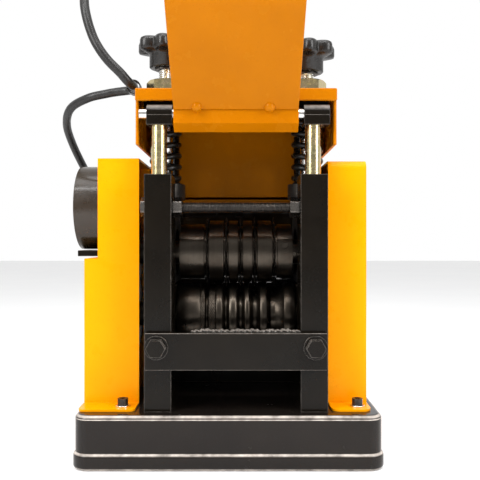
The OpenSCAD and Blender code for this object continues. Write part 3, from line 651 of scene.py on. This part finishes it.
def rounded_ring(low, high, radius, z, steps=10):
    """An upright box's outline at height z, with rounded corners."""
    corners = ((high[0] - radius, high[1] - radius), (low[0] + radius, high[1] - radius),
               (low[0] + radius, low[1] + radius), (high[0] - radius, low[1] + radius))
    ring = []
    for quarter, (x, y) in enumerate(corners):
        for k in range(steps + 1):
            a = math.pi / 2 * (quarter + k / steps)
            ring.append((x + radius * math.cos(a), y + radius * math.sin(a), z))
    return ring


def rolled(low, high, radius, levels):
    """Outlines of a rounded box that draw in and out as the (z, inset) levels say."""
    return [
        rounded_ring((low[0] + i, low[1] + i), (high[0] - i, high[1] - i), radius - i, z)
        for z, i in levels
    ]


def arc_levels(z, inset, radius, start, end, steps=6):
    """(z, inset) pairs round a quarter bend whose centre lies at that height and inset."""
    levels = []
    for k in range(steps + 1):
        a = math.radians(start + (end - start) * k / steps)
        levels.append((z + radius * math.sin(a), inset - radius * math.cos(a)))
    return levels


def make_base():
    """Folded pan with a wide top bend, and the tray below with its rolled rim."""
    low, high = (-148, -82), (134, 188)
    pan = [(16.0, 0.0), (16.4, 0.0), (45.4, 0.0), (46.0, 0.0)] + arc_levels(46.0, 4.0, 4.0, 0, 90)
    inner = [(47.0, 8.0), (44.0, 3.0), (16.0, 3.0)]
    shape = Shape()
    shape.rings(rolled(low, high, 14, pan), closed_ends=False)
    top = rolled(low, high, 14, pan)[-1]
    shape.add(top, [tuple(range(len(top)))])
    shape.rings(rolled(low, high, 14, [(16.0, 3.0), (16.0, 0.0)]), closed_ends=False)
    shape.rings(rolled(low, high, 14, inner[::-1]), closed_ends=False)
    add_piece("base_pan_fold", shape.points, shape.faces, ["base_pan"])
    low, high = (-150, -84), (136, 190)
    rim = [(0.0, 14.0), (0.0, 4.0)] + arc_levels(4.0, 4.0, 4.0, -90, 0) + arc_levels(12.0, 4.0, 4.0, 0, 90)
    rim += [(16.0, 8.0), (3.0, 8.2), (3.0, 14.0)]
    tray = Shape()
    rings = rolled(low, high, 16, rim)
    tray.rings(rings, closed_ends=False)
    tray.add(rings[0], [tuple(range(len(rings[0]) - 1, -1, -1))])
    tray.add(rings[-1], [tuple(range(len(rings[-1])))])
    add_piece("base_tray_rim", tray.points, tray.faces, ["base_tray"])


# ---- CAD pieces kept as they are, with rounded edges ----

EDGES = {
    "side_plate_left": 0.9, "side_plate_right": 0.9,
    "crossbar_bolts": 0.9, "tie_rod_nuts": 0.5,
    "bridge_columns": 0.6, "top_bridge": 1.2, "column_nuts": 0.5, "hood_shell": 1.2, "hood_screws": 0.4,
    "screw_bushes": 0.5, "hinge_posts": 0.4, "hinge_barrels": 0.5, "hinge_pin": 0.6, "left_cover": 0.8,
    "right_cover": 0.8, "cover_screws": 0.35, "cover_washers": 0.3, "motor_plate": 0.8, "motor_shelf": 0.8,
    "gearhead": 0.8, "motor_body": 0.8, "fan_cover": 0.7, "terminal_box": 1.0, "cable_glands": 0.4,
    "cable_clip": 0.3, "switch_plate": 0.8, "start_button": 0.5, "stop_button": 1.0,
    "bearing_block_left": 0.7, "bearing_block_right": 0.7, "spring_seats": 0.6, "guard_channel": 0.5,
    "upper_shaft": 0.4, "blade_spacers": 0.4, "lower_shaft": 0.4, "idler_pin": 0.4,
    "washer_left": 0.3, "washer_right": 0.3,
}


def dress_cad():
    """Gives every CAD piece its finish, and rounded edges where the list names it."""
    for node, piece in frame["nodes"].items():
        coat(piece, SLOT_OF[node])
        if node in EDGES:
            soften(piece, EDGES[node])


# ---- Stage ----

def make_stage():
    """A plain pale floor."""
    size = 6.0
    mesh = bpy.data.meshes.new("studio_floor")
    corners = [(-size, -size, 0), (size, -size, 0), (size, size, 0), (-size, size, 0)]
    mesh.from_pydata(corners, [], [(0, 1, 2, 3)])
    floor = bpy.data.objects.new("studio_floor", mesh)
    bpy.context.scene.collection.objects.link(floor)
    pale = Paint("pale_floor")
    tone = pale.mix(pale.spread(pale.noise(300, 2), 0, 1), (0.86, 0.86, 0.86), (0.84, 0.84, 0.845))
    floor.data.materials.append(pale.finish(tone, pale.spread(pale.noise(20, 2), 0.6, 0.7)))


def add_light(name, place, target, size, power):
    lamp = bpy.data.lights.new(name, "AREA")
    lamp.shape = "RECTANGLE"
    lamp.size, lamp.size_y = size
    lamp.energy = power
    light = bpy.data.objects.new(name, lamp)
    light.location = place
    light.rotation_mode = "QUATERNION"
    light.rotation_quaternion = (Vector(target) - Vector(place)).to_track_quat("-Z", "Y")
    bpy.context.scene.collection.objects.link(light)


def make_lights():
    """White surroundings whose light falls off towards the viewer, three soft boxes and a strip."""
    world = bpy.data.worlds.new("studio")
    bpy.context.scene.world = world
    world.use_nodes = True
    tree = world.node_tree
    sky = tree.nodes["Background"]
    sky.inputs["Color"].default_value = (1.0, 1.0, 1.0, 1.0)
    direction = tree.nodes.new("ShaderNodeTexCoord")
    parts = tree.nodes.new("ShaderNodeSeparateXYZ")
    fall = tree.nodes.new("ShaderNodeMapRange")
    fall.inputs["From Min"].default_value = -0.6
    fall.inputs["From Max"].default_value = 0.4
    fall.inputs["To Min"].default_value = 0.36
    fall.inputs["To Max"].default_value = 1.0
    tree.links.new(direction.outputs["Generated"], parts.inputs["Vector"])
    rise = tree.nodes.new("ShaderNodeMath")
    rise.operation = "ADD"
    tree.links.new(parts.outputs["Y"], rise.inputs[0])
    tree.links.new(parts.outputs["Z"], rise.inputs[1])
    tree.links.new(rise.outputs["Value"], fall.inputs["Value"])
    seen = tree.nodes.new("ShaderNodeLightPath")
    strength = tree.nodes.new("ShaderNodeMath")
    strength.operation = "MAXIMUM"
    tree.links.new(fall.outputs["Result"], strength.inputs[0])
    tree.links.new(seen.outputs["Is Camera Ray"], strength.inputs[1])
    tree.links.new(strength.outputs["Value"], sky.inputs["Strength"])
    add_light("left soft box", (-1.0, -1.0, 0.9), (0, 0, 0.2), (0.5, 0.9), 16)
    add_light("right soft box", (1.1, -0.9, 0.8), (0, 0, 0.2), (0.4, 0.9), 14)
    add_light("top soft box", (0.0, -0.2, 1.6), (0, 0, 0.2), (1.2, 0.8), 10)
    add_light("strip over the front", (0.0, -0.75, 1.35), (0, -0.08, 0.1), (1.7, 0.06), 9)


def make_camera():
    """A level camera in front of the machine, a little above the rollers."""
    bpy.context.scene.view_settings.view_transform = "Standard"
    lens = bpy.data.cameras.new("camera")
    lens.lens = 50
    lens.sensor_width = 36
    lens.clip_start = 0.01
    camera = bpy.data.objects.new("camera", lens)
    camera.location = (0.0037, -0.684, 0.209)
    camera.rotation_euler = (math.radians(90), 0, 0)
    bpy.context.scene.collection.objects.link(camera)
    bpy.context.scene.camera = camera


dress_cad()
make_lead()
make_springs()
make_tie_rod()
make_studs()
make_knob("knob_left", -PLATE_MID, LEFT_KNOB_FOOT)
make_knob("knob_right", PLATE_MID, RIGHT_KNOB_FOOT)
make_feed_roller()
make_guard()
make_weld_bead()
make_crossbars()
make_base()
make_stage()
make_lights()
make_camera()
